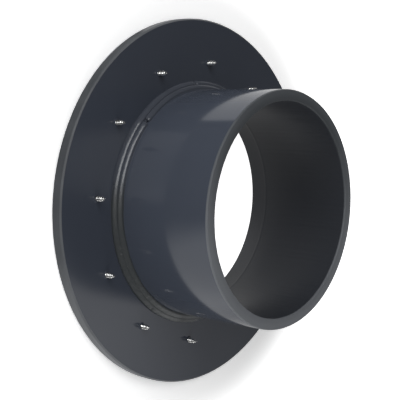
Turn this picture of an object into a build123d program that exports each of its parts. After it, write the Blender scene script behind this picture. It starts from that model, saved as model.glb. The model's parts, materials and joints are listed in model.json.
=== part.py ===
from build123d import *
import math
import os

# Welded grey PVC pipe flange: a flat ring cut from sheet, a short pipe stub cemented
# through its hole and welded in front with three strands of welding rod, and a ring of
# countersunk self-tapping screws driven through the flange from the back.
# Millimetres. The origin is the centre of the flange's back face, and +Z runs along the
# pipe towards its mouth. The flange lies on its back face.

# Flange ring
flange_diameter = 258.0
flange_thickness = 8.0
front_edge_bevel = 1.0
back_edge_bevel = 0.5

# Pipe stub, a piece of pressure pipe with a 7.7 mm wall
pipe_diameter = 160.0
pipe_wall = 7.7
pipe_reach = 77.0            # from the flange's front face to the mouth
mouth_bevel_length = 1.2     # outer bevel at the mouth, along the pipe
mouth_bevel_depth = 0.6      # and across its wall
bore_edge_bevel = 0.4        # scraped inner edge at both ends

# Weld, three strands of rod side by side in the corner. Each is drawn with six flat sides,
# one of them facing out of the corner.
weld_rod_diameter = 4.0
weld_rod_sides = 6
weld_rod_sink = 0.8          # how far a strand is pressed flat against what it lies on
flange_strand_pitch = 2.7    # from the root strand to the one beside it on the flange
pipe_strand_pitch = 2.2      # and to the one above it on the pipe
weld_end_gap = 1.6           # notch between the start and the end of a strand
weld_scrape_depth = 0.2      # skin scraped off the pipe for the weld, deepest in the corner
weld_scrape_margin = 0.5     # how far the scraped band shows past the weld
root_strand_end = 150.0      # where each strand starts and ends, in degrees from +X
flange_strand_end = -80.0
pipe_strand_end = -40.0

# Screws, of the standard length of 16 mm. Each is drawn with sixteen flat sides, as is its hole.
screw_count = 12
screw_sides = 16
screw_circle_diameter = 198.0
screw_reach = 8.0            # how far the points stand out of the front face
screw_thread_diameter = 3.5
screw_head_diameter = 7.0
screw_head_angle = 90.0
screw_point_length = 3.4
screw_tip_diameter = 0.3
cross_slot_span = 3.8
cross_slot_width = 0.9
cross_slot_depth = 1.5
screw_clearance = 0.05

# Sizes that follow from those above
flange_radius = flange_diameter / 2
pipe_radius = pipe_diameter / 2
bore_radius = pipe_radius - pipe_wall
mouth_height = flange_thickness + pipe_reach
weld_near = weld_rod_diameter / 2 - weld_rod_sink
weld_leg = weld_near + pipe_strand_pitch + weld_rod_diameter / 2
scrape_height = flange_thickness + weld_leg + weld_scrape_margin
screw_length = flange_thickness + screw_reach
screw_circle_radius = screw_circle_diameter / 2
screw_thread_radius = screw_thread_diameter / 2
screw_head_radius = screw_head_diameter / 2
screw_tip_radius = screw_tip_diameter / 2
screw_head_slope = math.tan(math.radians(screw_head_angle / 2))


def turned(outline):
    """Solid turned about Z from a closed outline of (radius, height) points."""
    section = make_face(Polyline(*outline, close=True))
    return revolve(Plane.XZ * section, axis=Axis.Z)


def screw_places():
    """Places of the screws on their circle, the first on +X."""
    return PolarLocations(screw_circle_radius, screw_count)


def screw_stretch(start, end):
    """Stretch of a screw from one (radius, height) to the next, straight or tapered."""
    start_radius, low = start
    end_radius, high = end
    section = Pos(0, 0, low) * RegularPolygon(start_radius, screw_sides, major_radius=False)
    taper = math.degrees(math.atan2(start_radius - end_radius, high - low))
    return extrude(section, high - low, taper=taper)


def screw_solid(clearance, *ending):
    """Screw, or its hole where there is clearance, from its countersunk head to its ending."""
    head_radius = screw_head_radius + clearance
    thread_radius = screw_thread_radius + clearance
    cone_end = (head_radius - thread_radius) / screw_head_slope
    outline = [(head_radius, 0), (thread_radius, cone_end), *ending]
    first, *rest = [screw_stretch(start, end) for start, end in zip(outline, outline[1:])]
    return first + rest


def make_flange():
    """Flat ring with eased edges and a countersunk hole for each screw."""
    ring = turned([
        (pipe_radius, 0),
        (flange_radius - back_edge_bevel, 0),
        (flange_radius, back_edge_bevel),
        (flange_radius, flange_thickness - front_edge_bevel),
        (flange_radius - front_edge_bevel, flange_thickness),
        (pipe_radius, flange_thickness),
    ])
    hole = screw_solid(screw_clearance, (screw_thread_radius + screw_clearance, flange_thickness))
    return ring - [place * hole for place in screw_places()]


def make_pipe():
    """Pipe stub, flush with the flange's back face, scraped at the weld and bevelled at its mouth."""
    return turned([
        (bore_radius + bore_edge_bevel, 0),
        (pipe_radius, 0),
        (pipe_radius, flange_thickness),
        (pipe_radius - weld_scrape_depth, flange_thickness),
        (pipe_radius, scrape_height),
        (pipe_radius, mouth_height - mouth_bevel_length),
        (pipe_radius - mouth_bevel_depth, mouth_height),
        (bore_radius + bore_edge_bevel, mouth_height),
        (bore_radius, mouth_height - bore_edge_bevel),
        (bore_radius, bore_edge_bevel),
    ])


def strand_section(along_flange, along_pipe):
    """Section of a strand whose centre is this far out of the weld's corner."""
    rod = RegularPolygon(weld_rod_diameter / 2, weld_rod_sides, rotation=45 + 180 / weld_rod_sides)
    return Pos(pipe_radius + along_flange, flange_thickness + along_pipe) * rod


def laid_strand(section, offset, end_angle):
    """Strand laid once round the pipe, with a notch where its end meets its start."""
    gap = math.degrees(weld_end_gap / (pipe_radius + offset))
    strand = revolve(Plane.XZ * section, axis=Axis.Z, revolution_arc=360 - gap)
    return Rot(0, 0, end_angle + gap / 2) * strand


def weld_corner():
    """Section of the open corner between the flange's face and the scraped pipe."""
    reach = 2 * scrape_height
    return make_face(Polyline(
        (pipe_radius - weld_scrape_depth, flange_thickness),
        (pipe_radius + reach, flange_thickness),
        (pipe_radius + reach, reach),
        (pipe_radius, reach),
        (pipe_radius, scrape_height),
        close=True,
    ))


def make_weld_strands():
    """The root strand in the corner, then one along the flange and one along the pipe."""
    on_flange_offset = weld_near + flange_strand_pitch
    on_pipe_offset = weld_near + pipe_strand_pitch
    corner = weld_corner()
    root = strand_section(weld_near, weld_near) & corner
    on_flange = (strand_section(on_flange_offset, weld_near) & corner) - root
    on_pipe = (strand_section(weld_near, on_pipe_offset) & corner) - root - on_flange
    return {
        "weld_root_strand": laid_strand(root, weld_near, root_strand_end),
        "weld_flange_strand": laid_strand(on_flange, on_flange_offset, flange_strand_end),
        "weld_pipe_strand": laid_strand(on_pipe, weld_near, pipe_strand_end),
    }


def make_screw():
    """Countersunk self-tapping screw with a cross recess, head down on z = 0."""
    shank_end = (screw_thread_radius, screw_length - screw_point_length)
    blank = screw_solid(0, shank_end, (screw_tip_radius, screw_length))
    slot = Box(cross_slot_span, cross_slot_width, 2 * cross_slot_depth)
    return blank - slot - Rot(0, 0, 90) * slot


def make_parts():
    """Every piece by its node's name, each where it belongs."""
    parts = {"flange_ring": make_flange(), "pipe_stub": make_pipe()}
    parts.update(make_weld_strands())
    screw = make_screw()
    for number, place in enumerate(screw_places(), start=1):
        parts[f"screw_{number:02d}"] = place * screw
    return parts


os.makedirs("parts", exist_ok=True)
for name, shape in make_parts().items():
    shape.label = name
    export_step(shape, f"parts/{name}.step")
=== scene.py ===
import json
import math

import bmesh
import bpy
from mathutils import Matrix, Vector, noise


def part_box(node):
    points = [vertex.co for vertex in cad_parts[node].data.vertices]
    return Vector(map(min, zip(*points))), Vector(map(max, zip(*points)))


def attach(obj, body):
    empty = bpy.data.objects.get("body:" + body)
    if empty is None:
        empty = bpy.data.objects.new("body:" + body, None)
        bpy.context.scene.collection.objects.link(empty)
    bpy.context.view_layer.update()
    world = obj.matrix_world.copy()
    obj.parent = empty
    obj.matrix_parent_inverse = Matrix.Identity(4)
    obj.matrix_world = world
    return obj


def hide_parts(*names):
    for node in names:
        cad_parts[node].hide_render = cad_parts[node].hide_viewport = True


# A welded grey PVC pipe flange lying on its back face: a ring of sheet, a pipe stub through it,
# three strands of welding rod in the corner, and twelve threaded screws whose points stand out.
# Metres, in the part's own frame: +Z along the pipe, the origin at the centre of the back face.

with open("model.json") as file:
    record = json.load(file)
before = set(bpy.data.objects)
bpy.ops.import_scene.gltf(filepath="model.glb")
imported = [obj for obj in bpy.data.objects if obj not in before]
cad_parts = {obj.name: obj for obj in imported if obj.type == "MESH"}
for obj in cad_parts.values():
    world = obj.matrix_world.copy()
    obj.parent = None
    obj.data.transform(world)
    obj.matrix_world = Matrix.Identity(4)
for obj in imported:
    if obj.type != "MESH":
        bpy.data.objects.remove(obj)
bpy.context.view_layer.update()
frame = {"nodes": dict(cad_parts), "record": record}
mm = 0.001

# Sizes read from the frame
mounts = {mount["name"]: mount["dims"] for mount in frame["record"]["mounts"]}
flange_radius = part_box("flange_ring")[1].x
flange_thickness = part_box("flange_ring")[1].z
pipe_radius = mounts["pipe_end"]["r_mm"] * mm
bore_radius = mounts["bore"]["r_mm"] * mm
mouth_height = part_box("pipe_stub")[1].z
weld_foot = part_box("weld_flange_strand")[1].x - pipe_radius
weld_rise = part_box("weld_pipe_strand")[1].z - flange_thickness
screw_nodes = sorted(name for name in frame["nodes"] if name.startswith("screw_"))
screw_count = len(screw_nodes)
screw_low, screw_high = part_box("screw_01")
screw_circle_radius = (screw_low.x + screw_high.x) / 2
screw_length = screw_high.z
screw_head_radius = (screw_high.y - screw_low.y) / 2

# Sizes of the finer forms
front_bevel = 1.0 * mm
back_bevel = 0.5 * mm
mouth_bevel_length = 1.2 * mm
mouth_bevel_depth = 0.6 * mm
bore_edge_bevel = 0.4 * mm
corner_softness = 0.22 * mm
thread_radius = 1.75 * mm
thread_depth = 0.42 * mm
thread_pitch = 1.35 * mm
thread_share = 0.62            # of the pitch that the thread takes up
screw_point_length = 3.4 * mm
thread_sharp_angle = 38
screw_head_edge = 0.30 * mm    # height of the head's straight side
screw_head_rounding = 0.25 * mm
recess_blade = Vector((3.8, 0.9, 3.0)) * mm    # half of its height cuts into the head
hole_clearance = 0.05 * mm
burr_width = 0.95 * mm         # past the thread's crests
burr_height = 0.42 * mm
bore_ridge_height = 13.4 * mm
bore_ridge_width = 1.6 * mm
bore_ridge_depth = 0.16 * mm
chatter_depth = 0.14 * mm      # how far the scraper strayed at the mouth's inner edge
chatter_drop = 0.06 * mm       # and how far it dipped there
sharp_angle = 35               # degrees past which an edge stays sharp

# Shape of the weld's strands: widths, crests, swells and ripples are shares of the rod's radius
rod_radius = 1.95 * mm
weld_near = 1.2 * mm           # from a strand's middle to what it lies on
strand_gap = 1.2 * mm          # between its two ends
strand_width = 1.18
smeared_width = 1.34
strand_crest = 0.88
smeared_crest = 0.80
crest_rounding = 0.25
foot_width = 1.04
foot_spread = 0.12
ripple_length = 2.3 * mm
ripple_share = 0.018
swell_share = 0.03
smear_share = 0.04
wander_out = 0.12 * mm
wander_rise = 0.10 * mm
laid_bumps = 0.03 * mm
smeared_bumps = 0.16 * mm

# Pits left in the smeared stretch: angle in degrees, radius and height in millimetres
weld_pits = [(25, 83.9, 10.6), (30, 81.4, 12.6), (60, 85.2, 9.6), (79, 84.0, 10.4), (92, 84.4, 10.0)]
pit_size = 0.75 * mm

# Angles round the pipe between which the weld was smeared by hand
smear_start = math.radians(14)
smear_end = math.radians(97)

# Angles round the mouth and the rim at which a painted highlight on their scraped skin is brightest
mouth_highlight_angle = math.radians(95)
rim_highlight_angle = math.radians(67)

# Tones of each finish, the darker and the paler one that its pattern goes between
sheet_tones = (0.038, 0.044, 0.059, 1), (0.043, 0.050, 0.066, 1)
# The rim's paler tone is a painted highlight and its darker tone a painted shade, set by the angle round
# the rim.
rim_shade_to_highlight_tones = (0.040, 0.045, 0.052, 1), (0.124, 0.131, 0.141, 1)
wall_tones = (0.050, 0.059, 0.079, 1), (0.056, 0.065, 0.086, 1)
# The bore's tones are the wall's plastic painted darker, as painted shade.
bore_shade_tones = (0.024, 0.027, 0.034, 1), (0.028, 0.031, 0.038, 1)
# The mouth's paler tone is a painted highlight and its darker tone a painted shade, set by the angle
# round the mouth.
cut_shade_to_highlight_tones = (0.029, 0.034, 0.039, 1), (0.132, 0.141, 0.155, 1)
weld_tones = (0.044, 0.050, 0.064, 1), (0.058, 0.064, 0.080, 1)
# The smeared tones are darker than the laid ones as painted shade.
smeared_shade_tones = (0.029, 0.033, 0.036, 1), (0.038, 0.042, 0.044, 1)
steel_tones = (0.70, 0.70, 0.69, 1), (0.82, 0.82, 0.81, 1)
rubbed_tone = (0.12, 0.125, 0.13, 1)
pvc_ior = 1.54

# Roughness of each finish: the most that its pattern adds, and the least; the smeared weld is even
sheet_roughness = 0.08, 0.15
rim_roughness = 0.2, 0.42
wall_roughness = 0.05, 0.09
inside_roughness = 0.06, 0.38
cut_roughness = 0.2, 0.38
weld_roughness = 0.10, 0.09
steel_roughness = 0.12, 0.08
smeared_roughness = 0.42

# Depth of each finish's fine relief
sheet_relief = 0.03 * mm
pipe_relief = 0.05 * mm
weld_relief = 0.04 * mm
steel_relief = 0.004 * mm
wall_draw_lines = 0.08         # shares of the pipe's relief
inside_draw_lines = 0.04

# Distances over which a scraped or a duller finish takes over: in from the flange's rim, down
# from the mouth, and out from the bore's wall
rim_band = (1.25 * mm, 0.95 * mm)
mouth_band = (1.35 * mm, 1.15 * mm)
bore_band = (0.35 * mm, 0.15 * mm)

# Camera: angles in degrees, focal length in pixels of the photograph's 400
camera_target = (-1.67 * mm, -1.40 * mm, 8.0 * mm)
camera_distance = 706.2 * mm
camera_azimuth = -2.115
camera_elevation = 40.859
camera_roll = 95.425
focal_length_pixels = 987.3
photo_pixels = 400

# Light on the part, and what the room shows where it is mirrored
lamp_target = (0, 0, 30 * mm)
room_level = 0.15
pale_side_level = 0.38
room_mirrored = 0.09
panel_mirrored = 1.18
panel_mirrored_low = 0.10
strip_mirrored = 1.5

# Soft edges in the room: where a coordinate of a direction starts to brighten, and where it is bright
lit_y = (-0.3, 0.4)
rising_y = (-0.12, 0.12)
panel_x = (-0.38, -0.52)
panel_y = (0.03, 0.135)
panel_z = (0.63, 0.72)
strip_x = (-0.15, -0.30)
strip_y = (0.70, 0.80)
strip_z = (0.50, 0.40)

# Floor as the camera sees it: its glow is lowered close to the flange, a painted shadow that is full to
# one distance from the flange and gone at the next
floor_half_width = 4.0
floor_colour = 0.75
floor_gain = 1.5
floor_glow_near = 0.05
floor_glow_far = 0.75
shadow_full = 12 * mm
shadow_gone = 60 * mm

# Floor as it is mirrored, with the soft edges of its pale patches
mirror_dark = 0.06
mirror_pale = 0.85
pale_side_x = (-30 * mm, 50 * mm)
pale_side_y = (23 * mm, 90 * mm)
pale_side_least = 0.45
streak_x = (66 * mm, 58 * mm)
streak_y = (-60 * mm, -90 * mm)
bore_mirror_dark = 0.03
bore_mirror_pale = 0.50
bore_dimmest = (9 * mm, 9 * mm, 0)
bore_brightening = 75 * mm     # from the dimmest point to the palest
bore_far_extra = 0.35
bore_far_x = (-20 * mm, -60 * mm)
bore_far_y = (0, 30 * mm)


def rounded_outline(corners, steps=4):
    """Outline through (radius, height, softness) corners, each eased by a short curve."""
    points = []
    for index, (r, z, softness) in enumerate(corners):
        corner = Vector((r, z))
        if not softness:
            points.append(corner)
            continue
        before = Vector(corners[index - 1][:2])
        after = Vector(corners[(index + 1) % len(corners)][:2])
        start = corner + (before - corner).normalized() * softness
        end = corner + (after - corner).normalized() * softness
        for step in range(steps + 1):
            t = step / steps
            points.append(start * (1 - t) ** 2 + corner * 2 * t * (1 - t) + end * t ** 2)
    return points


def mesh_object(name, points, faces, smooth_angle=sharp_angle):
    """Smooth-shaded object from points and faces, with its sharper edges left sharp."""
    mesh = bpy.data.meshes.new(name)
    mesh.from_pydata([tuple(p) for p in points], [], faces)
    mesh.shade_smooth()
    mesh.set_sharp_from_angle(angle=math.radians(smooth_angle))
    piece = bpy.data.objects.new(name, mesh)
    bpy.context.scene.collection.objects.link(piece)
    return piece


def lathe(name, outline, turns, shift=None):
    """Ring of revolution from a closed outline that runs anticlockwise in (radius, height)."""
    points, faces = [], []
    count = len(outline)
    for turn in range(turns):
        angle = 2 * math.pi * turn / turns
        for r, z in outline:
            if shift:
                r, z = shift(angle, r, z)
            points.append((r * math.cos(angle), r * math.sin(angle), z))
        for k in range(count):
            here = turn * count
            there = (turn + 1) % turns * count
            following = (k + 1) % count
            faces.append((here + k, there + k, there + following, here + following))
    return mesh_object(name, points, faces)


def turned_solid(name, outline, turns):
    """Solid of revolution from an outline that starts and ends on the axis, bottom to top."""
    (_, low), *middle, (_, high) = outline
    points = [(0, 0, low)]
    faces = []
    count = len(middle)
    for turn in range(turns):
        angle = 2 * math.pi * turn / turns
        points += [(r * math.cos(angle), r * math.sin(angle), z) for r, z in middle]
    points.append((0, 0, high))
    top = len(points) - 1
    for turn in range(turns):
        here = 1 + turn * count
        there = 1 + (turn + 1) % turns * count
        faces.append((0, there, here))
        faces += [(here + k, there + k, there + k + 1, here + k + 1) for k in range(count - 1)]
        faces.append((top, here + count - 1, there + count - 1))
    return mesh_object(name, points, faces)


class Graph:
    """Short hand for building one node tree."""

    def __init__(self, tree):
        self.tree = tree

    def feed(self, socket, value):
        """Links an output to a socket, or sets the socket's own value."""
        if isinstance(value, bpy.types.NodeSocket):
            self.tree.links.new(value, socket)
        else:
            socket.default_value = value

    def add(self, kind, inputs=None, **settings):
        """New node, with its settings and its inputs by name or number."""
        node = self.tree.nodes.new(kind)
        for key, value in settings.items():
            setattr(node, key, value)
        for key, value in (inputs or {}).items():
            self.feed(node.inputs[key], value)
        return node

    def math(self, operation, *values, clamp=False):
        node = self.add("ShaderNodeMath", operation=operation, use_clamp=clamp)
        for socket, value in zip(node.inputs, values):
            self.feed(socket, value)
        return node.outputs[0]

    def blend(self, amount, low, high):
        """Plain number between low and high."""
        return self.math("MULTIPLY_ADD", amount, self.math("SUBTRACT", high, low), low)

    def ramp(self, value, start, end, low=0.0, high=1.0):
        """Number that goes smoothly from low to high as value goes from start to end."""
        node = self.add("ShaderNodeMapRange", {"Value": value, "From Min": start, "From Max": end,
                                               "To Min": low, "To Max": high},
                        interpolation_type="SMOOTHSTEP")
        return node.outputs["Result"]

    def noise(self, vector, scale, detail=2.0, roughness=0.5):
        """Soft random level, from 0 to 1 about its middle."""
        node = self.add("ShaderNodeTexNoise", {"Vector": vector, "Scale": scale, "Detail": detail,
                                               "Roughness": roughness})
        return node.outputs["Fac"]

    def vector(self, x, y, z):
        return self.add("ShaderNodeCombineXYZ", {"X": x, "Y": y, "Z": z}).outputs[0]

    def colour(self, amount, low, high):
        """Colour between low and high."""
        node = self.add("ShaderNodeMix", data_type="RGBA")
        self.feed(node.inputs[0], amount)
        self.feed(node.inputs[6], low)
        self.feed(node.inputs[7], high)
        return node.outputs[2]

    def group(self, tree, **inputs):
        """Outputs of a node group that is fed with these inputs."""
        node = self.add("ShaderNodeGroup")
        node.node_tree = tree
        for key, value in inputs.items():
            self.feed(node.inputs[key.replace("_", " ").title()], value)
        return node.outputs


FLOAT = "NodeSocketFloat"
VECTOR = "NodeSocketVector"


def shader_group(name, inputs, outputs):
    """Empty shader node group, with its inputs and outputs by name."""
    tree = bpy.data.node_groups.new(name, "ShaderNodeTree")
    for label, kind, value in inputs:
        socket = tree.interface.new_socket(label, in_out="INPUT", socket_type=kind)
        if value is not None:
            socket.default_value = value
    for label, kind in outputs:
        tree.interface.new_socket(label, in_out="OUTPUT", socket_type=kind)
    graph = Graph(tree)
    return graph, graph.add("NodeGroupInput").outputs, graph.add("NodeGroupOutput").inputs


def make_round_coordinates():
    """Where a point lies on a turned part: its radius, height, angle and unrolled place."""
    graph, _, out = shader_group("round_coordinates", [], [
        ("Radius", FLOAT), ("Height", FLOAT), ("Angle", FLOAT), ("Unrolled", VECTOR)])
    place = graph.add("ShaderNodeTexCoord").outputs["Object"]
    split = graph.add("ShaderNodeSeparateXYZ", {0: place}).outputs
    square = graph.math("ADD", graph.math("MULTIPLY", split["X"], split["X"]),
                        graph.math("MULTIPLY", split["Y"], split["Y"]))
    radius = graph.math("SQRT", square)
    angle = graph.math("ARCTAN2", split["Y"], split["X"])
    graph.feed(out["Radius"], radius)
    graph.feed(out["Height"], split["Z"])
    graph.feed(out["Angle"], angle)
    graph.feed(out["Unrolled"], graph.vector(graph.math("COSINE", angle), graph.math("SINE", angle),
                                             graph.math("ADD", split["Z"], radius)))
    return graph.tree


def make_clouding():
    """Faint unevenness of a moulded surface, from 0 to 1, in broad and in fine spots."""
    graph, given, out = shader_group("clouding", [("Vector", VECTOR, None), ("Scale", FLOAT, 30.0)],
                                     [("Broad", FLOAT), ("Fine", FLOAT)])
    graph.feed(out["Broad"], graph.noise(given["Vector"], given["Scale"], 3.0))
    fine_scale = graph.math("MULTIPLY", given["Scale"], 40.0)
    graph.feed(out["Fine"], graph.noise(given["Vector"], fine_scale, 2.0))
    return graph.tree


def make_scratches():
    """Thin rubbed lines that cross the surface two ways, 1 on a line and 0 beside it."""
    graph, given, out = shader_group("scratches", [("Vector", VECTOR, None), ("Scale", FLOAT, 60.0),
                                                   ("Amount", FLOAT, 0.5)], [("Lines", FLOAT)])
    line_width = 0.006
    lines = []
    for turn, stretch in ((0.5, 0.035), (2.1, 0.05)):
        moved = graph.add("ShaderNodeMapping", {"Vector": given["Vector"], "Rotation": (0, 0, turn),
                                                "Scale": (1.0, stretch, 1.0)}).outputs[0]
        value = graph.noise(moved, given["Scale"], 1.0)
        from_line = graph.math("ABSOLUTE", graph.math("SUBTRACT", value, 0.5))
        lines.append(graph.ramp(from_line, line_width, 0.0))
    patches = graph.ramp(graph.noise(given["Vector"], 25.0, 2.0), 0.45, 0.65)
    both = graph.math("MAXIMUM", *lines)
    graph.feed(out["Lines"], graph.math("MULTIPLY", graph.math("MULTIPLY", both, patches),
                                        given["Amount"]))
    return graph.tree


def make_tool_marks():
    """Fine uneven grooves, a level for each value along one direction."""
    graph, given, out = shader_group("tool_marks", [("Along", FLOAT, 0.0), ("Drift", FLOAT, 0.0),
                                                    ("Scale", FLOAT, 3000.0)], [("Level", FLOAT)])
    place = graph.vector(graph.math("MULTIPLY", given["Along"], given["Scale"]), given["Drift"], 0.0)
    graph.feed(out["Level"], graph.noise(place, 1.0, 3.0, 0.7))
    return graph.tree


round_coordinates = make_round_coordinates()
clouding = make_clouding()
scratches = make_scratches()
tool_marks = make_tool_marks()


def new_material(name):
    """Material with a plain Principled surface, its graph, and that surface."""
    material = bpy.data.materials.new(name)
    material.use_nodes = True
    material.node_tree.nodes.clear()
    graph = Graph(material.node_tree)
    surface = graph.add("ShaderNodeBsdfPrincipled")
    result = graph.add("ShaderNodeOutputMaterial")
    graph.feed(result.inputs["Surface"], surface.outputs[0])
    return material, graph, surface


def relief(graph, surface, height, depth):
    """Bump of the given depth in metres, from a level between 0 and 1."""
    bump = graph.add("ShaderNodeBump", {"Height": height, "Distance": depth, "Strength": 1.0})
    graph.feed(surface.inputs["Normal"], bump.outputs[0])


def sheet_material():
    """Satin PVC sheet, with a scraped band round its sawn rim that is painted paler in places as a
    painted highlight and darker between as painted shade.
    """
    material, graph, surface = new_material("sheet_pvc")
    at = graph.group(round_coordinates)
    place = graph.add("ShaderNodeTexCoord").outputs["Object"]
    spots = graph.group(clouding, vector=place, scale=22.0)
    lines = graph.group(scratches, vector=place, scale=90.0, amount=1.0)["Lines"]
    rim = graph.ramp(at["Radius"], flange_radius - rim_band[0], flange_radius - rim_band[1])
    marks = graph.group(tool_marks, along=at["Height"], drift=graph.math("MULTIPLY", at["Angle"], 3.0),
                        scale=1600.0)["Level"]
    face_colour = graph.colour(spots["Broad"], *sheet_tones)
    # Painted highlight and shade: the rim is painted paler at the angle set above and half a turn from
    # it, and darker a quarter turn away; the noise and tool marks are its scraped skin.
    from_rim_highlight = graph.math("MULTIPLY_ADD", at["Angle"], 2.0, -2.0 * rim_highlight_angle)
    scraped = graph.math("MULTIPLY_ADD", graph.math("COSINE", from_rim_highlight), 0.40, 0.06)
    scraped = graph.math("ADD", scraped, graph.noise(at["Unrolled"], 4.0, 1.0))
    scraped = graph.math("MULTIPLY_ADD", marks, 0.4, scraped, clamp=True)
    rim_colour_with_highlight = graph.colour(scraped, *rim_shade_to_highlight_tones)
    rubbed = graph.colour(graph.math("MULTIPLY", lines, 0.008), face_colour, rubbed_tone)
    graph.feed(surface.inputs["Base Color"], graph.colour(rim, rubbed, rim_colour_with_highlight))
    face_roughness = graph.math("MULTIPLY_ADD", spots["Broad"], *sheet_roughness)
    face_roughness = graph.math("ADD", face_roughness, graph.math("MULTIPLY", lines, 0.02))
    scraped_roughness = graph.math("MULTIPLY_ADD", marks, *rim_roughness)
    graph.feed(surface.inputs["Roughness"], graph.blend(rim, face_roughness, scraped_roughness))
    ripple = graph.math("MULTIPLY", spots["Fine"], 0.12)
    ripple = graph.math("SUBTRACT", ripple, graph.math("MULTIPLY", lines, 0.01))
    relief(graph, surface, graph.blend(rim, ripple, marks), sheet_relief)
    surface.inputs["IOR"].default_value = pvc_ior
    return material


def pipe_material():
    """Glossy extruded PVC pipe with faint draw lines, a duller bore painted darker as painted shade, and
    a matt scraped mouth painted paler to one side as a painted highlight and darker opposite as painted
    shade.
    """
    material, graph, surface = new_material("pipe_pvc")
    at = graph.group(round_coordinates)
    place = graph.add("ShaderNodeTexCoord").outputs["Object"]
    spots = graph.group(clouding, vector=place, scale=14.0)
    lines = graph.group(scratches, vector=place, scale=70.0, amount=0.8)["Lines"]
    draw = graph.group(tool_marks, along=at["Angle"], drift=graph.math("MULTIPLY", at["Height"], 4.0),
                       scale=60.0)["Level"]
    mouth = graph.ramp(at["Height"], mouth_height - mouth_band[0], mouth_height - mouth_band[1])
    cut = graph.group(tool_marks, along=at["Radius"], drift=graph.math("MULTIPLY", at["Angle"], 5.0),
                      scale=1800.0)["Level"]
    wall_colour = graph.colour(spots["Broad"], *wall_tones)
    # Painted highlight and shade: the mouth's cut face is painted paler towards the angle set above and
    # towards its outer edge, and darker on the far side; the tool marks are its scraped skin.
    from_mouth_highlight = graph.math("SUBTRACT", at["Angle"], mouth_highlight_angle)
    cut_marks_and_highlight = graph.ramp(graph.math("COSINE", from_mouth_highlight), -0.8, 0.5, 0.0, 0.75)
    outer_half = graph.ramp(at["Radius"], bore_radius + 1.5 * mm, pipe_radius - 1.5 * mm, 0.0, 0.2)
    cut_marks_and_highlight = graph.math("ADD", graph.math("MULTIPLY_ADD", cut, 0.25, cut_marks_and_highlight), outer_half, clamp=True)
    cut_colour_with_highlight = graph.colour(cut_marks_and_highlight, *cut_shade_to_highlight_tones)
    rubbed = graph.colour(graph.math("MULTIPLY", lines, 0.03), wall_colour, rubbed_tone)
    in_bore = graph.ramp(at["Radius"], bore_radius + bore_band[0], bore_radius + bore_band[1])
    # Painted shade: inside the bore the wall is painted darker, standing in for the little light that
    # reaches it.
    bore_shade_colour = graph.colour(spots["Broad"], *bore_shade_tones)
    wall = graph.colour(in_bore, rubbed, bore_shade_colour)
    graph.feed(surface.inputs["Base Color"], graph.colour(mouth, wall, cut_colour_with_highlight))
    outer = graph.math("MULTIPLY_ADD", spots["Broad"], *wall_roughness)
    outer = graph.math("ADD", outer, graph.math("MULTIPLY", lines, 0.08))
    inner = graph.math("MULTIPLY_ADD", spots["Broad"], *inside_roughness)
    uncut = graph.blend(in_bore, outer, inner)
    scraped = graph.math("MULTIPLY_ADD", cut, *cut_roughness)
    graph.feed(surface.inputs["Roughness"], graph.blend(mouth, uncut, scraped))
    draw_depth = graph.blend(in_bore, wall_draw_lines, inside_draw_lines)
    ripple = graph.math("MULTIPLY_ADD", draw, draw_depth, graph.math("MULTIPLY", spots["Fine"], 0.01))
    relief(graph, surface, graph.blend(mouth, ripple, cut), pipe_relief)
    surface.inputs["IOR"].default_value = pvc_ior
    return material


def weld_material():
    """Melted PVC rod: glossy where the strands were laid evenly, matt where they were smeared, and
    painted darker over that stretch as painted shade.
    """
    material, graph, surface = new_material("weld_pvc")
    at = graph.group(round_coordinates)
    place = graph.add("ShaderNodeTexCoord").outputs["Object"]
    spots = graph.group(clouding, vector=place, scale=60.0)
    # The smeared stretch is matt, and painted darker as painted shade.
    smeared_and_shaded = graph.math("MULTIPLY", graph.ramp(at["Angle"], smear_start - 0.5, smear_start - 0.2),
                        graph.ramp(at["Angle"], smear_end + 0.1, smear_end - 0.15))
    colour = graph.colour(spots["Broad"], *weld_tones)
    smeared_shade_colour = graph.colour(spots["Broad"], *smeared_shade_tones)
    graph.feed(surface.inputs["Base Color"], graph.colour(smeared_and_shaded, colour, smeared_shade_colour))
    roughness = graph.math("MULTIPLY_ADD", spots["Broad"], *weld_roughness)
    graph.feed(surface.inputs["Roughness"], graph.blend(smeared_and_shaded, roughness, smeared_roughness))
    relief(graph, surface, graph.math("MULTIPLY_ADD", spots["Fine"], 0.4, spots["Broad"]), weld_relief)
    surface.inputs["IOR"].default_value = pvc_ior
    return material


def steel_material():
    """Bright rolled stainless steel."""
    material, graph, surface = new_material("screw_steel")
    place = graph.add("ShaderNodeTexCoord").outputs["Object"]
    spots = graph.group(clouding, vector=place, scale=400.0)
    tone = graph.colour(spots["Broad"], *steel_tones)
    graph.feed(surface.inputs["Base Color"], tone)
    graph.feed(surface.inputs["Roughness"],
               graph.math("MULTIPLY_ADD", spots["Broad"], *steel_roughness))
    surface.inputs["Metallic"].default_value = 1.0
    relief(graph, surface, spots["Fine"], steel_relief)
    return material


def dress(piece, material, slot, *nodes):
    """Gives a piece its material, puts it under the root body and hides the CAD nodes it stands for."""
    piece.data.materials.clear()
    piece.data.materials.append(material)
    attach(piece, "root")
    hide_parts(*nodes)


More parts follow.
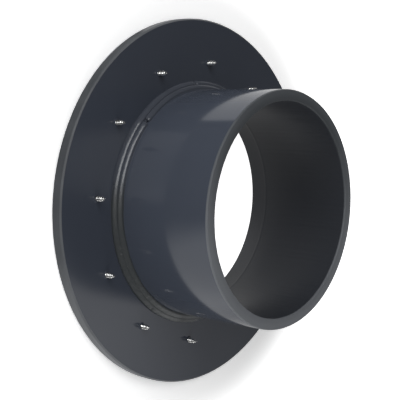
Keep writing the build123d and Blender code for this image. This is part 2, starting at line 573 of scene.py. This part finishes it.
def make_ring(material):
    """Sheet ring with eased edges and a countersunk hole for each screw."""
    ring_turns = 360
    hole_turns = 40
    ring = lathe("sheet_ring", rounded_outline([
        (pipe_radius, 0, 0),
        (flange_radius - back_bevel, 0, corner_softness),
        (flange_radius, back_bevel, corner_softness),
        (flange_radius, flange_thickness - front_bevel, corner_softness),
        (flange_radius - front_bevel, flange_thickness, corner_softness),
        (pipe_radius, flange_thickness, 0),
    ]), ring_turns)
    seat = screw_head_radius + hole_clearance
    hole = thread_radius + hole_clearance
    over = 1.0 * mm
    cutter = turned_solid("hole_cutter", [
        (0, -over), (seat + over, -over), (hole, seat - hole), (hole, flange_thickness + over),
        (0, flange_thickness + over)], hole_turns)
    for index in range(screw_count):
        angle = 2 * math.pi * index / screw_count
        place = Matrix.Rotation(angle, 4, "Z") @ Matrix.Translation((screw_circle_radius, 0, 0))
        cutter.matrix_world = place
        cut = ring.modifiers.new("screw_hole", "BOOLEAN")
        cut.operation = "DIFFERENCE"
        cut.solver = "EXACT"
        cut.object = cutter
        finish_modifiers(ring)
    bpy.data.objects.remove(cutter)
    ring.data.set_sharp_from_angle(angle=math.radians(sharp_angle))
    flatten = ring.modifiers.new("flat_faces", "WEIGHTED_NORMAL")
    flatten.keep_sharp = True
    finish_modifiers(ring)
    dress(ring, material, "sheet_pvc", "flange_ring")


def finish_modifiers(piece):
    """Writes a piece's modifiers into its mesh."""
    bpy.context.view_layer.update()
    evaluated = piece.evaluated_get(bpy.context.evaluated_depsgraph_get())
    result = bpy.data.meshes.new_from_object(evaluated)
    piece.modifiers.clear()
    old = piece.data
    piece.data = result
    result.name = piece.name
    bpy.data.meshes.remove(old)


def make_pipe(material):
    """Pipe stub with a softly ridged bore opposite the weld and a hand-scraped mouth."""
    pipe_turns = 720
    ridge_steps = 4
    ridge = []
    for step in range(-ridge_steps, ridge_steps + 1):
        bulge = 0.5 * (1 + math.cos(math.pi * step / ridge_steps))
        ridge.append((bore_radius - bore_ridge_depth * bulge,
                      bore_ridge_height - bore_ridge_width * step / ridge_steps, 0))
    outline = rounded_outline([
        (bore_radius + bore_edge_bevel, 0, 0),
        (pipe_radius, 0, 0),
        (pipe_radius, mouth_height - mouth_bevel_length, corner_softness),
        (pipe_radius - mouth_bevel_depth, mouth_height, corner_softness),
        (bore_radius + bore_edge_bevel, mouth_height, corner_softness / 2),
        (bore_radius, mouth_height - bore_edge_bevel, corner_softness / 2),
        *ridge,
        (bore_radius, bore_edge_bevel, 0),
    ])

    def scraped(angle, r, z):
        """The scraper chattered along the mouth's inner edge."""
        if z < mouth_height - 2 * bore_edge_bevel or r > bore_radius + 2 * bore_edge_bevel:
            return r, z
        around = Vector((math.cos(angle), math.sin(angle), 0))
        chatter = noise.noise(around * 30) + 0.6 * noise.noise(around * 95)
        return r + chatter_depth * chatter, min(z, mouth_height) - chatter_drop * abs(chatter)

    pipe = lathe("pipe", outline, pipe_turns, scraped)
    dress(pipe, material, "pipe_pvc", "pipe_stub")


def geometry_tree(name, *inputs):
    """Empty geometry tree with one output and the given inputs, and its inputs' identifiers."""
    tree = bpy.data.node_groups.new(name, "GeometryNodeTree")
    tree.interface.new_socket("Geometry", in_out="OUTPUT", socket_type="NodeSocketGeometry")
    sockets = {}
    for label, kind in inputs:
        sockets[label] = tree.interface.new_socket(label, in_out="INPUT", socket_type=kind).identifier
    graph = Graph(tree)
    given = graph.add("NodeGroupInput").outputs
    result = graph.add("NodeGroupOutput").inputs["Geometry"]
    return graph, given, result, sockets


def grown(name, tree, sockets, **values):
    """Object whose mesh is what a geometry tree makes from the given values."""
    piece = mesh_object(name, [(0, 0, 0), (mm, 0, 0), (0, mm, 0)], [(0, 1, 2)])
    maker = piece.modifiers.new(tree.name, "NODES")
    maker.node_group = tree
    for label, value in values.items():
        maker[sockets[label.replace("_", " ").title()]] = value
    finish_modifiers(piece)
    return piece


def laid_strand():
    """Geometry tree: a rod laid once round the pipe in the weld's corner, pressed flat on the side
    that faces out, its feet melted into what it lies on and its ends rounded."""
    graph, given, result, sockets = geometry_tree(
        "laid_strand", ("Centre Out", FLOAT), ("Centre Up", FLOAT), ("Rod Radius", FLOAT),
        ("Start", FLOAT), ("Turn", FLOAT), ("Foot Out", FLOAT), ("Foot Up", FLOAT), ("Seed", FLOAT),
        ("Material", "NodeSocketMaterial"))
    steps = 1300
    around = 33
    calc = graph.math
    grid = graph.add("GeometryNodeMeshGrid", {"Size X": 1.0, "Size Y": 1.0, "Vertices X": steps,
                                              "Vertices Y": around})
    on_grid = graph.add("ShaderNodeSeparateXYZ",
                        {0: graph.add("GeometryNodeInputPosition").outputs[0]}).outputs
    along = calc("ADD", on_grid["X"], 0.5)
    angle = calc("MULTIPLY_ADD", along, given["Turn"], given["Start"])
    section_angle = calc("MULTIPLY_ADD", on_grid["Y"], 2 * math.pi, math.pi)
    direction = graph.vector(calc("COSINE", angle), calc("SINE", angle), 0.0)
    wrapped = calc("WRAP", angle, math.pi, -math.pi)
    smear = calc("MULTIPLY", graph.ramp(wrapped, smear_start - 0.1, smear_start + 0.15),
                 graph.ramp(wrapped, smear_end + 0.1, smear_end - 0.15))

    def uneven(vector, scale, detail=0.0):
        """Noise about zero, mostly between -1 and 1."""
        return calc("MULTIPLY_ADD", graph.noise(vector, scale, detail), 4.0, -2.0)

    def seeded(shift):
        """Direction out of the pipe, moved along Z so that every noise of every strand differs."""
        moved = graph.add("ShaderNodeVectorMath", {0: direction, 1: graph.vector(
            0.0, 0.0, calc("ADD", given["Seed"], shift))}, operation="ADD")
        return moved.outputs["Vector"]

    wander = uneven(seeded(0.0), 3.0)
    wander_up = uneven(seeded(7.0), 2.5)
    swell = uneven(seeded(3.0), 7.0)
    laid = calc("MULTIPLY", given["Turn"], pipe_radius)
    from_end = calc("MULTIPLY", calc("MINIMUM", along, calc("SUBTRACT", 1.0, along)), laid)
    rounding = calc("DIVIDE", from_end, calc("MULTIPLY", given["Rod Radius"], 0.8), clamp=True)
    short = calc("SUBTRACT", 1.0, rounding)
    taper = calc("SQRT", calc("SUBTRACT", 1.0, calc("MULTIPLY", short, short)))
    ripple_phase = calc("MULTIPLY_ADD", angle, pipe_radius / ripple_length,
                        calc("MULTIPLY", wander, 2.0))
    ripples = calc("MULTIPLY", calc("SINE", ripple_phase), graph.blend(smear, ripple_share, 0.0))
    fullness = calc("ADD", calc("MULTIPLY_ADD", swell, swell_share, 1.0), ripples)
    fullness = calc("MULTIPLY_ADD", smear, smear_share, fullness)
    size = calc("MULTIPLY", calc("MULTIPLY", given["Rod Radius"], taper), fullness)

    half = math.sqrt(0.5)
    cosine = calc("COSINE", section_angle)
    sine = calc("SINE", section_angle)
    outwards = calc("MULTIPLY", calc("MULTIPLY", calc("ADD", cosine, sine), half), size)
    across = calc("MULTIPLY", calc("MULTIPLY", calc("SUBTRACT", cosine, sine), half), size)
    across = calc("MULTIPLY", across, graph.blend(smear, strand_width, smeared_width))
    crest = calc("MULTIPLY", size, graph.blend(smear, strand_crest, smeared_crest))
    outwards = calc("SMOOTH_MIN", outwards, crest, calc("MULTIPLY", size, crest_rounding))
    out = calc("MULTIPLY", calc("ADD", outwards, across), half)
    up = calc("MULTIPLY", calc("SUBTRACT", outwards, across), half)

    def foot(reach, depth, wanted):
        """Reach of the section, kept from shrinking again on its way down to what it lies on."""
        below = calc("MULTIPLY", calc("LESS_THAN", depth, 0.0), calc("GREATER_THAN", reach, 0.0))
        ratio = calc("DIVIDE", depth, calc("MAXIMUM", size, 0.01 * mm))
        spread = calc("MULTIPLY_ADD", calc("MULTIPLY", ratio, ratio), foot_spread, foot_width)
        widest = calc("MAXIMUM", reach, calc("MULTIPLY", size, spread))
        return graph.blend(calc("MULTIPLY", below, wanted), reach, widest)

    out, up = foot(out, up, given["Foot Out"]), foot(up, out, given["Foot Up"])
    out = calc("ADD", out, calc("MULTIPLY_ADD", wander, wander_out, given["Centre Out"]))
    up = calc("ADD", up, calc("MULTIPLY_ADD", wander_up, wander_rise, given["Centre Up"]))

    def placed(out, up):
        """Point this far out from the pipe's wall and up from the flange's face."""
        radius = calc("ADD", out, pipe_radius)
        flat = graph.add("ShaderNodeVectorMath", {0: direction, 3: radius}, operation="SCALE")
        height = graph.vector(0.0, 0.0, calc("ADD", up, flange_thickness))
        return graph.add("ShaderNodeVectorMath", {0: flat.outputs["Vector"], 1: height},
                         operation="ADD").outputs["Vector"]

    point = placed(out, up)
    rough = calc("ADD", uneven(point, 260.0, 1.0), calc("MULTIPLY", uneven(point, 900.0), 0.4))
    push = calc("MULTIPLY", rough, graph.blend(smear, laid_bumps, smeared_bumps))
    for pit_angle, pit_radius, pit_height in weld_pits:
        around_pit = math.radians(pit_angle)
        pit = (pit_radius * mm * math.cos(around_pit), pit_radius * mm * math.sin(around_pit),
               pit_height * mm)
        away = graph.add("ShaderNodeVectorMath", {0: point, 1: pit}, operation="DISTANCE")
        share = calc("DIVIDE", away.outputs["Value"], pit_size)
        dip = calc("EXPONENT", calc("MULTIPLY", calc("MULTIPLY", share, share), -1.0))
        push = calc("MULTIPLY_ADD", dip, -pit_size, push)
    push = calc("MULTIPLY", push, taper)
    sunk = -0.15 * mm
    out = calc("MAXIMUM", calc("MULTIPLY_ADD", push, cosine, out), sunk)
    up = calc("MAXIMUM", calc("MULTIPLY_ADD", push, sine, up), sunk)
    shaped = graph.add("GeometryNodeSetPosition", {"Geometry": grid.outputs["Mesh"],
                                                   "Position": placed(out, up)})
    closed = graph.add("GeometryNodeMergeByDistance", {"Geometry": shaped.outputs["Geometry"],
                                                       "Distance": 0.001 * mm})
    real = graph.add("GeometryNodeRealizeInstances", {"Geometry": closed.outputs["Geometry"]})
    coated = graph.add("GeometryNodeSetMaterial", {"Geometry": real.outputs["Geometry"],
                                                   "Material": given["Material"]})
    graph.feed(result, coated.outputs["Geometry"])
    return graph.tree, sockets


def outside_out(piece):
    """Turns a closed mesh's faces outwards and shades it smoothly."""
    shell = bmesh.new()
    shell.from_mesh(piece.data)
    bmesh.ops.recalc_face_normals(shell, faces=shell.faces)
    shell.to_mesh(piece.data)
    shell.free()
    piece.data.shade_smooth()


def make_weld(material):
    """The root strand in the corner, then one along the flange and one along the pipe."""
    tree, sockets = laid_strand()
    strands = (("root_strand", "weld_root_strand", weld_near, weld_near, 150, 0.0, 0.0),
               ("flange_strand", "weld_flange_strand", weld_foot - rod_radius, weld_near, -80, 1.0, 0.0),
               ("pipe_strand", "weld_pipe_strand", weld_near, weld_rise - rod_radius, -40, 0.0, 1.0))
    for seed, (name, node, out, up, end_angle, foot_out, foot_up) in enumerate(strands):
        gap = strand_gap / (pipe_radius + out)
        strand = grown(name, tree, sockets, centre_out=out, centre_up=up, rod_radius=rod_radius,
                       start=math.radians(end_angle) + gap / 2, turn=2 * math.pi - gap,
                       foot_out=foot_out, foot_up=foot_up, seed=10.0 * seed, material=material)
        outside_out(strand)
        dress(strand, material, "weld_pvc", node)


def smooth(value, start, end):
    """0 before start and 1 after end, with a soft step between them."""
    t = min(1.0, max(0.0, (value - start) / (end - start)))
    return t * t * (3 - 2 * t)


def screw_mesh():
    """One self-tapping screw, head down: countersunk head, rolled thread and conical point."""
    around = 30
    rows_per_pitch = 12
    core_radius = thread_radius - thread_depth
    head_end = screw_head_radius - core_radius
    rows = int((screw_length - head_end) / thread_pitch * rows_per_pitch)
    rings = [(screw_head_radius - screw_head_rounding, 0.0), (screw_head_radius, 0.05 * mm),
             (screw_head_radius, screw_head_edge), (core_radius, head_end)]
    points = [(0, 0, 0)]
    for r, z in rings:
        for k in range(around):
            angle = 2 * math.pi * k / around
            points.append((r * math.cos(angle), r * math.sin(angle), z))
    for row in range(1, rows):
        z = head_end + (screw_length - head_end) * row / rows
        taper = min(1.0, (screw_length - z) / screw_point_length)
        core = core_radius * (0.12 + 0.88 * taper)
        crest = thread_depth * min(1.0, taper * 1.6) * smooth(z, head_end, head_end + thread_pitch)
        for k in range(around):
            angle = 2 * math.pi * k / around
            turn = (z / thread_pitch - k / around) % 1
            ridge = max(0.0, 1 - abs(2 * turn - 1) / thread_share)
            r = min(core + crest * ridge, thread_radius * (0.1 + 0.9 * min(1.0, taper * 1.35)))
            points.append((r * math.cos(angle), r * math.sin(angle), z))
    points.append((0, 0, screw_length))
    count = len(rings) + rows - 1
    faces = []
    for k in range(around):
        following = (k + 1) % around
        faces.append((0, 1 + following, 1 + k))
        for row in range(count - 1):
            here, there = 1 + row * around, 1 + (row + 1) * around
            faces.append((here + k, here + following, there + following, there + k))
        last = 1 + (count - 1) * around
        faces.append((last + k, last + following, len(points) - 1))
    screw = mesh_object("one_screw", points, faces, thread_sharp_angle)
    for turn in (0, 90):
        blade = box_mesh("recess_cutter", recess_blade)
        blade.rotation_euler.z = math.radians(turn)
        cut = screw.modifiers.new("recess", "BOOLEAN")
        cut.operation = "DIFFERENCE"
        cut.solver = "EXACT"
        cut.object = blade
        finish_modifiers(screw)
        bpy.data.objects.remove(blade)
    return screw


def box_mesh(name, size):
    """Box centred on the origin."""
    corners = [Vector((x, y, z)) * 0.5 for x in (-1, 1) for y in (-1, 1) for z in (-1, 1)]
    points = [Vector((c.x * size.x, c.y * size.y, c.z * size.z)) for c in corners]
    faces = [(0, 1, 3, 2), (4, 6, 7, 5), (0, 4, 5, 1), (2, 3, 7, 6), (0, 2, 6, 4), (1, 5, 7, 3)]
    return mesh_object(name, points, faces)


def ring_of_copies():
    """Geometry tree: copies of one object spaced evenly round the Z axis, each turned at random."""
    graph, given, result, sockets = geometry_tree(
        "ring_of_copies", ("Copied", "NodeSocketObject"), ("Count", "NodeSocketInt"),
        ("Circle Radius", FLOAT), ("Turn Range", FLOAT), ("Seed", "NodeSocketInt"),
        ("Material", "NodeSocketMaterial"))
    source = graph.add("GeometryNodeObjectInfo", {"Object": given["Copied"]})
    circle = graph.add("GeometryNodeMeshCircle", {"Vertices": given["Count"],
                                                  "Radius": given["Circle Radius"]})
    spin = graph.add("FunctionNodeRandomValue", {"Seed": given["Seed"]}, data_type="FLOAT")
    graph.feed(spin.inputs[2], 0.0)
    graph.feed(spin.inputs[3], given["Turn Range"])
    placed = graph.add("GeometryNodeInstanceOnPoints", {
        "Points": circle.outputs["Mesh"], "Instance": source.outputs["Geometry"],
        "Rotation": graph.vector(0.0, 0.0, spin.outputs[1])})
    real = graph.add("GeometryNodeRealizeInstances", {"Geometry": placed.outputs["Instances"]})
    coated = graph.add("GeometryNodeSetMaterial", {"Geometry": real.outputs["Geometry"],
                                                   "Material": given["Material"]})
    graph.feed(result, coated.outputs["Geometry"])
    return graph.tree, sockets


def copies_round_flange(name, source, material, seed, tree, sockets):
    """One mesh of a copy of source at each screw's place."""
    piece = grown(name, tree, sockets, copied=source, count=screw_count,
                  circle_radius=screw_circle_radius, turn_range=2 * math.pi, seed=seed,
                  material=material)
    bpy.data.objects.remove(source)
    return piece


def burr_mesh():
    """Low uneven collar of sheet pushed up where a screw broke through."""
    burr_turns = 36
    inner = thread_radius - 0.25 * mm
    outer = thread_radius + burr_width
    sunk = -0.05 * mm
    profile = [(outer, sunk), (outer - 0.1 * mm, 0.03 * mm), (outer - 0.5 * mm, 0.6 * burr_height),
               (inner + 0.35 * mm, burr_height), (inner + 0.1 * mm, 0.8 * burr_height), (inner, sunk)]

    def torn(angle, r, z):
        around = Vector((math.cos(angle), math.sin(angle), 0.3))
        lift = 1 + 0.7 * noise.noise(around * 2.3)
        spread = 1 + 0.12 * noise.noise(around * 1.7 + Vector((3, 1, 0)))
        return inner + (r - inner) * spread, flange_thickness + max(z, sunk) * lift

    return lathe("one_burr", profile, burr_turns, torn)


def make_screws(steel, sheet):
    """The twelve screws, and the burr round each on the flange's front face."""
    tree, sockets = ring_of_copies()
    screws = copies_round_flange("screws", screw_mesh(), steel, 4, tree, sockets)
    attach(screws, "root")
    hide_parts(*screw_nodes)
    burrs = copies_round_flange("screw_burrs", burr_mesh(), sheet, 9, tree, sockets)
    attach(burrs, "root")


def make_floor():
    """Pale floor, white to the camera apart from the part's shadow and a painted shadow close round the
    flange, and mirrored in patches.
    """
    corners = [(x * floor_half_width, y * floor_half_width, 0)
               for x, y in ((-1, -1), (1, -1), (1, 1), (-1, 1))]
    floor = mesh_object("floor", corners, [(0, 1, 2, 3)])
    material = bpy.data.materials.new("pale_floor")
    material.use_nodes = True
    material.node_tree.nodes.clear()
    graph = Graph(material.node_tree)
    place = graph.add("ShaderNodeTexCoord").outputs["Object"]
    split = graph.add("ShaderNodeSeparateXYZ", {0: place}).outputs
    radius = graph.add("ShaderNodeVectorMath", {0: place}, operation="LENGTH").outputs["Value"]
    paths = graph.add("ShaderNodeLightPath").outputs
    in_bore = graph.ramp(radius, bore_radius + 2 * mm, bore_radius)
    # Painted shadow: the floor glows less close to the flange, so that it is darker there.
    glow_with_painted_shadow = graph.ramp(radius, flange_radius + shadow_full, flange_radius + shadow_gone,
                             floor_glow_near, floor_glow_far)
    seen = graph.blend(in_bore, glow_with_painted_shadow, 1.0)
    pale_side = graph.math("MULTIPLY", graph.ramp(split["Y"], *pale_side_y),
                           graph.ramp(split["X"], *pale_side_x, pale_side_least, 1.0))
    streak = graph.math("MULTIPLY", graph.ramp(split["Y"], *streak_y),
                        graph.ramp(split["X"], *streak_x))
    mirrored = graph.blend(graph.math("MAXIMUM", pale_side, streak), mirror_dark, mirror_pale)
    from_dimmest = graph.add("ShaderNodeVectorMath", {0: place, 1: bore_dimmest},
                             operation="DISTANCE").outputs["Value"]
    bore_floor = graph.ramp(from_dimmest, 0.0, bore_brightening, bore_mirror_dark, bore_mirror_pale)
    far_side = graph.math("MULTIPLY", graph.ramp(split["X"], *bore_far_x),
                          graph.ramp(split["Y"], *bore_far_y))
    bore_floor = graph.math("MULTIPLY_ADD", far_side, bore_far_extra, bore_floor)
    mirrored = graph.blend(in_bore, mirrored, bore_floor)
    strength = graph.math("ADD", graph.math("MULTIPLY", paths["Is Camera Ray"], seen),
                          graph.math("MULTIPLY", paths["Is Glossy Ray"], mirrored))
    glow = graph.add("ShaderNodeEmission", {"Color": (1, 1, 1, 1), "Strength": strength})
    level = graph.blend(paths["Is Camera Ray"], floor_colour, floor_gain)
    level = graph.math("MULTIPLY", level, graph.math("SUBTRACT", 1.0, paths["Is Glossy Ray"]))
    matt = graph.add("ShaderNodeBsdfDiffuse", {"Color": graph.vector(level, level, level)})
    both = graph.add("ShaderNodeAddShader", {0: glow.outputs[0], 1: matt.outputs[0]})
    graph.feed(graph.add("ShaderNodeOutputMaterial").inputs["Surface"], both.outputs[0])
    floor.data.materials.append(material)


def make_world():
    """Dim room, paler on the +Y side, mirrored in patches, and white to the camera."""
    world = bpy.data.worlds.new("studio")
    world.use_nodes = True
    world.node_tree.nodes.clear()
    graph = Graph(world.node_tree)
    direction = graph.add("ShaderNodeTexCoord").outputs["Generated"]
    split = graph.add("ShaderNodeSeparateXYZ", {0: direction}).outputs
    paths = graph.add("ShaderNodeLightPath").outputs
    lit = graph.ramp(split["Y"], *lit_y, room_level, pale_side_level)
    rising = graph.ramp(split["Y"], *rising_y, room_mirrored, 2 * room_mirrored)
    panel = graph.math("MULTIPLY", graph.ramp(split["Y"], *panel_y),
                       graph.ramp(split["Z"], *panel_z, panel_mirrored_low, panel_mirrored))
    panel = graph.math("MULTIPLY", panel, graph.ramp(split["X"], *panel_x))
    strip = graph.math("MULTIPLY", graph.ramp(split["Y"], *strip_y),
                       graph.ramp(split["X"], *strip_x, 0.0, strip_mirrored))
    strip = graph.math("MULTIPLY", strip, graph.ramp(split["Z"], *strip_z))
    mirrored = graph.math("ADD", graph.math("ADD", rising, panel), strip)
    level = graph.blend(paths["Is Glossy Ray"], lit, mirrored)
    strength = graph.blend(paths["Is Camera Ray"], level, 1.0)
    glow = graph.add("ShaderNodeBackground", {"Color": (1, 1, 1, 1), "Strength": strength})
    graph.feed(graph.add("ShaderNodeOutputWorld").inputs["Surface"], glow.outputs[0])
    bpy.context.scene.world = world


def aim(thing, place, target):
    """Puts a lamp in its place, facing the target."""
    thing.location = place
    thing.rotation_euler = (Vector(target) - Vector(place)).to_track_quat("-Z", "Y").to_euler()


def softbox(name, azimuth, elevation, distance, width, height, strength, mirrored):
    """Lamp aimed at the part; a matt white surface facing it would show this strength."""
    azimuth, elevation = math.radians(azimuth), math.radians(elevation)
    place = Vector((math.cos(azimuth) * math.cos(elevation), math.sin(azimuth) * math.cos(elevation),
                    math.sin(elevation))) * distance
    lamp = bpy.data.lights.new(name, "AREA")
    lamp.shape = "RECTANGLE"
    lamp.size = width
    lamp.size_y = height
    lamp.energy = strength * (math.pi * distance) ** 2
    thing = bpy.data.objects.new(name, lamp)
    bpy.context.scene.collection.objects.link(thing)
    thing.visible_glossy = mirrored
    aim(thing, place, lamp_target)


def make_camera():
    """Camera at the photograph's angle, found by fitting the part's circles to it."""
    data = bpy.data.cameras.new("camera")
    data.sensor_fit = "HORIZONTAL"
    data.sensor_width = 36.0
    data.lens = data.sensor_width * focal_length_pixels / photo_pixels
    data.clip_start = 0.01
    camera = bpy.data.objects.new("camera", data)
    bpy.context.scene.collection.objects.link(camera)
    azimuth, elevation = math.radians(camera_azimuth), math.radians(camera_elevation)
    outward = Vector((math.cos(azimuth) * math.cos(elevation), math.sin(azimuth) * math.cos(elevation),
                      math.sin(elevation)))
    turn = outward.to_track_quat("Z", "Y").to_matrix().to_4x4()
    roll = Matrix.Rotation(math.radians(camera_roll), 4, "Z")
    place = Matrix.Translation(Vector(camera_target) + outward * camera_distance)
    camera.matrix_world = place @ turn @ roll
    bpy.context.scene.camera = camera


bpy.context.scene.view_settings.view_transform = "Standard"

sheet = sheet_material()
make_ring(sheet)
make_pipe(pipe_material())
make_weld(weld_material())
make_screws(steel_material(), sheet)
make_floor()
make_world()
softbox("key_softbox", azimuth=-34, elevation=45.5, distance=1.5, width=1.5, height=0.4,
        strength=0.36, mirrored=True)
softbox("low_softbox", azimuth=-48, elevation=18, distance=1.6, width=1.0, height=1.0,
        strength=0.42, mirrored=False)
softbox("side_softbox", azimuth=80, elevation=14, distance=1.6, width=1.0, height=1.0,
        strength=0.38, mirrored=False)
make_camera()
